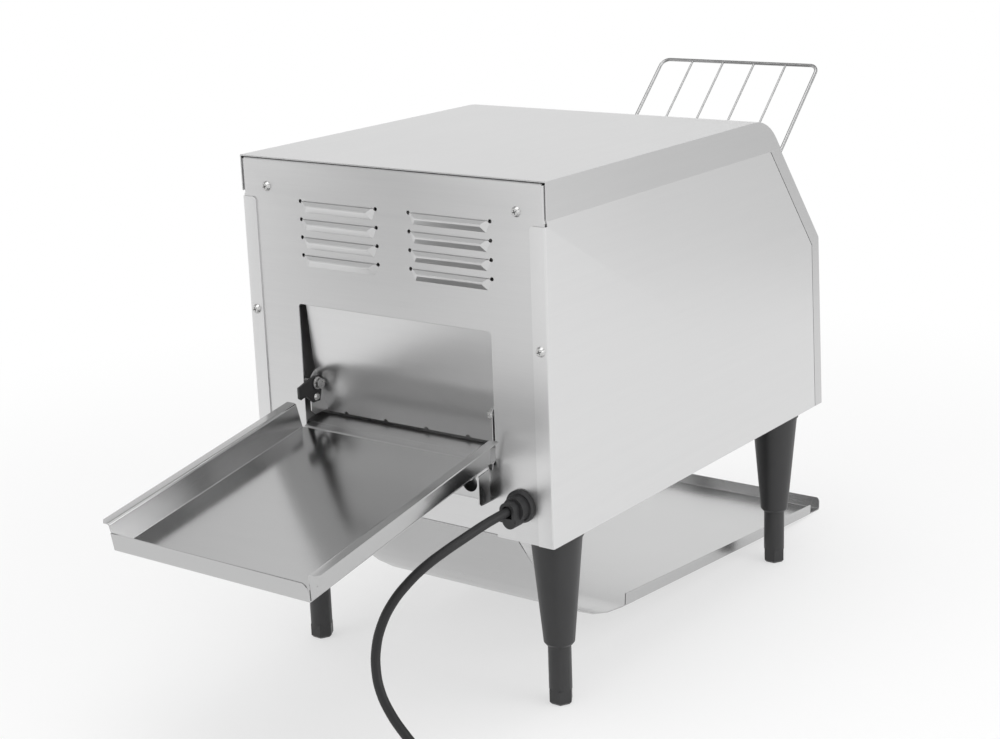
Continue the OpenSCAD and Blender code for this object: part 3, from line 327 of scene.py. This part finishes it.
# ---------- body ----------
# One-millimetre stainless sheet, folded and screwed: a rear panel with pressed louvres, two sides, a roof
# that bends down into the slope, and a front frame. Satin, with the grain along each sheet.
def satin(name, along, tone, roughness=0.27, contrast=0.07):
    """Satin stainless steel with its grain along one axis."""
    steel = Finish(name, Metallic=1.0)
    stretch = {"x": (0.02, 1, 1), "y": (1, 0.02, 1)}[along]
    grain = steel.noise(0.0009, 4, stretch)
    cloud = steel.noise(0.09, 3)
    streak = steel.noise(0.006, 3, stretch)
    tint = 0.5 * streak + 0.5 * grain
    dark, light = (1 - contrast) * tone, (1 + 0.6 * contrast) * tone
    steel.set(Base_Color=steel.shade((dark, dark, 1.005 * dark), (light, light, 0.998 * light), tint),
              Roughness=roughness + 0.04 * cloud + 0.04 * grain)
    steel.bump(grain, 0.00002, 0.5)
    return steel


# The rear, side and roof sheets are one steel; their different tones paint in how much light each face
# catches: painted light and shade.
rear_steel = satin("rear_panel_steel", "x", tone=0.66)
side_steel = satin("side_panel_steel", "y", tone=0.71, roughness=0.26, contrast=0.04)
roof_steel = satin("roof_steel", "y", tone=0.62, roughness=0.28, contrast=0.05)
finished("rear_panel", rear_steel, edge=0.0002)
for node in ("side_panel_left", "side_panel_right"):
    finished(node, side_steel)
for node in ("roof_panel", "front_frame"):
    finished(node, roof_steel)


# ---------- base and lane ----------
# Plain mill-finish sheet inside the body: the base pan, the two walls of the lane, the guide behind the
# belt, the motor's bracket and the crumb tray. The sill of the rear outlet is satin.
mill_steel = satin("mill_sheet", "y", tone=0.50, roughness=0.36)
for node in ("base_pan", "inner_wall_left", "inner_wall_right", "drop_guide", "motor_bracket", "crumb_tray"):
    finished(node, mill_steel, edge=0.0002)
finished("outlet_sill", satin("sill_steel", "x", tone=0.52, roughness=0.3), edge=0.0002)


# ---------- belt and its drive ----------
# Bright steel rods on link plates, carried round two wheeled shafts in bronze bushes, and turned by a
# geared motor through a dark roller chain.
bright_rod = Finish("bright_rod", Metallic=1.0)
heat = bright_rod.noise(0.05, 4)
bright_rod.set(Base_Color=bright_rod.shade((0.46, 0.44, 0.41), (0.62, 0.61, 0.60), heat),
               Roughness=0.2 + 0.16 * heat)
bright_rod.bump(bright_rod.noise(0.0006, 2), 0.00001)
turned = Finish("turned_steel", Metallic=1.0)
rings = turned.noise(0.004, 4)
turned.set(Base_Color=turned.shade((0.42, 0.42, 0.42), (0.58, 0.58, 0.58), rings),
           Roughness=0.24 + 0.12 * rings)
turned.bump(turned.noise(0.0005, 2), 0.00001)
chain_steel = Finish("oiled_chain", Metallic=0.8)
oil = chain_steel.noise(0.006, 4)
chain_steel.set(Base_Color=chain_steel.shade((0.04, 0.036, 0.03), (0.13, 0.12, 0.11), oil),
                Roughness=0.3 + 0.2 * oil)
bronze = Finish("sintered_bronze", Metallic=1.0)
pores = bronze.noise(0.0015, 4)
bronze.set(Base_Color=bronze.shade((0.42, 0.27, 0.12), (0.58, 0.40, 0.20), pores),
           Roughness=0.32 + 0.15 * pores)
motor_paint = moulded("motor_paint", (0.25, 0.26, 0.27), (0.31, 0.32, 0.33), 0.4)
finished("conveyor_belt", bright_rod, edge=0)
for node in ("drive_shaft", "idler_shaft", "motor_sprocket"):
    finished(node, turned, edge=0.0002)
finished("shaft_bushes", bronze, edge=0.0002)
finished("drive_chain", chain_steel, edge=0)
finished("drive_motor", motor_paint, edge=0.0006)


# ---------- heaters ----------
# Quartz tubes with a coiled wire that shows through as fine bands, white ceramic end caps like the
# terminal block, and bright reflectors folded from aluminised sheet.
WIRE_COILS = 2400.0              # how fast the coiled wire turns, in radians per metre of tube
quartz = Finish("quartz", Metallic=0.0, Roughness=0.16, IOR=1.46)
along_tube = quartz.node("SeparateXYZ", Vector=quartz.node("TexCoord", out=3), out=0)
bands = 0.5 + 0.5 * (along_tube * WIRE_COILS).sine()
quartz.set(Base_Color=quartz.shade((0.62, 0.62, 0.60), (0.84, 0.84, 0.83), bands))
ceramic = Finish("white_ceramic", Roughness=0.6)
glaze = ceramic.noise(0.004, 4)
ceramic.set(Base_Color=ceramic.shade((0.74, 0.72, 0.66), (0.84, 0.82, 0.77), glaze))
ceramic.bump(ceramic.noise(0.001, 3), 0.00005)
mirror_sheet = satin("aluminised_sheet", "x", tone=0.72, roughness=0.2)
for node in ("upper_heater_tubes", "lower_heater_tubes"):
    finished(node, quartz, edge=0.0004)
for node in ("heater_caps", "terminal_block"):
    finished(node, ceramic, edge=0.0004)
for node in ("upper_reflector", "lower_reflector"):
    finished(node, mirror_sheet, edge=0.0002)


# ---------- deflector flap ----------
# A satin flap that hangs on two bolts across the outlet. A black moulded lever, held by one of the bolts
# and a rivet, sticks out for the fingers.
# The flap's tone is set to the light its face catches as well as to the steel: partly painted light.
flap_steel = satin("flap_steel", "x", tone=0.68, roughness=0.26, contrast=0.04)
zinc = Finish("zinc_plate", Metallic=1.0)
dull = zinc.noise(0.002, 4)
zinc.set(Base_Color=zinc.shade((0.50, 0.50, 0.49), (0.68, 0.68, 0.68), dull), Roughness=0.2 + 0.16 * dull)
finished("deflector_flap", flap_steel, edge=0.0002)
finished("flap_lever", black, edge=0.0005)
for node in ("lever_rivet", "flap_pivot_bolts"):
    finished(node, zinc)


# ---------- trays ----------
# The catch tray is one long curved sheet under the body, the rear tray a folded box that hangs on two
# studs by keyholes. Both are satin stainless.
# The rear tray's tone is darkened below the body's steel to paint in the shade of what it mirrors: painted
# shade.
tray_steel = satin("tray_steel", "x", tone=0.52, roughness=0.13, contrast=0.05)
catch_steel = satin("catch_tray_steel", "x", tone=0.56, roughness=0.22, contrast=0.05)
finished("catch_tray", catch_steel)
finished("rear_tray", tray_steel)
finished("tray_studs", zinc)


# ---------- wire rack ----------
# Bright plated wire, welded: a round-cornered frame with bars across.
plated = Finish("plated_wire", Metallic=1.0)
wear = plated.noise(0.012, 3)
plated.set(Base_Color=plated.shade((0.36, 0.36, 0.36), (0.46, 0.46, 0.46), wear),
           Roughness=0.24 + 0.10 * wear)
finished("wire_rack", plated, edge=0)


# ---------- legs and feet ----------
# Black moulded legs with a collar at the top, each with a hexagonal foot on a thick shank screwed into it,
# and zinc-plated bolts that hold them to the base.
leg_black = moulded("leg_moulding", (0.024, 0.024, 0.025), (0.038, 0.038, 0.039), 0.36)
for corner in ("front_left", "front_right", "rear_left", "rear_right"):
    finished("leg_" + corner, leg_black, edge=0.0006)
    finished("foot_" + corner, leg_black, edge=0.0006)
finished("leg_bolts", zinc)


# ---------- controls ----------
# Two black knobs and an orange lamp on the front; the heat switch and the speed control sit behind it.
knob_black = moulded("phenolic", (0.014, 0.014, 0.015), (0.024, 0.024, 0.025), 0.3)
housing = moulded("switch_housing", (0.06, 0.08, 0.07), (0.10, 0.12, 0.11), 0.5)
for node in ("heat_knob", "speed_knob"):
    finished(node, knob_black, edge=0.0005)
for node in ("heat_switch", "speed_control"):
    finished(node, housing, edge=0.0005)
lens_glow = Finish("lamp_lens", Roughness=0.12, IOR=1.5, Coat_Weight=0.4)
ripple = lens_glow.noise(0.003, 2)
lens_glow.set(Base_Color=lens_glow.shade((0.62, 0.15, 0.02), (0.85, 0.30, 0.05), ripple))
finished("power_lamp", lens_glow, edge=0.0005)


# ---------- panel screws ----------
# Zinc-plated pan-head screws hold the rear panel at its four corners. Each head carries a near-black cross
# that stands a hair proud of the head: painted shade for its cross recess.
RECESS_ARM, RECESS_HALF, RECESS_DEEP = 0.0019, 0.00042, 0.0003
RECESS_LIFT = 0.00003            # the rim stands this much proud of the head
RECESS_TURN = 20                 # degrees off upright
UPPER_HEAD, LOWER_HEAD = (0.118, 0.2124, 0.387), (0.13625, 0.2134, 0.288)
heads = [Vector((side * x, y, z)) for side in (1, -1) for x, y, z in (UPPER_HEAD, LOWER_HEAD)]
screws = finished("panel_screws", zinc, edge=0.0004)
# The cross gets near-black paint as the shade inside the recess; it is a raised prism, not a hollow.
shadowed = Finish("painted_recess_shade", Base_Color=(0.02, 0.02, 0.02), Roughness=0.7)
screws.data.materials.append(shadowed.material)
shape = bmesh.new()
shape.from_mesh(screws.data)
for head in heads:
    outline = []
    for quarter in range(4):
        turn = Matrix.Rotation(math.radians(RECESS_TURN + 90 * quarter), 3, "Y")
        for x, z in ((-RECESS_HALF, RECESS_ARM), (RECESS_HALF, RECESS_ARM), (RECESS_HALF, RECESS_HALF)):
            outline.append(shape.verts.new(head + turn @ Vector((x, -RECESS_DEEP, z))))
    cross = shape.faces.new(outline)
    walls = bmesh.ops.extrude_face_region(shape, geom=[cross])["geom"]
    rim = [v for v in walls if isinstance(v, bmesh.types.BMVert)]
    bmesh.ops.translate(shape, vec=(0, RECESS_DEEP + RECESS_LIFT, 0), verts=rim)
    for corner in rim + outline:
        for face in corner.link_faces:
            face.material_index = 1
bmesh.ops.recalc_face_normals(shape, faces=shape.faces)
shape.to_mesh(screws.data)
shape.free()
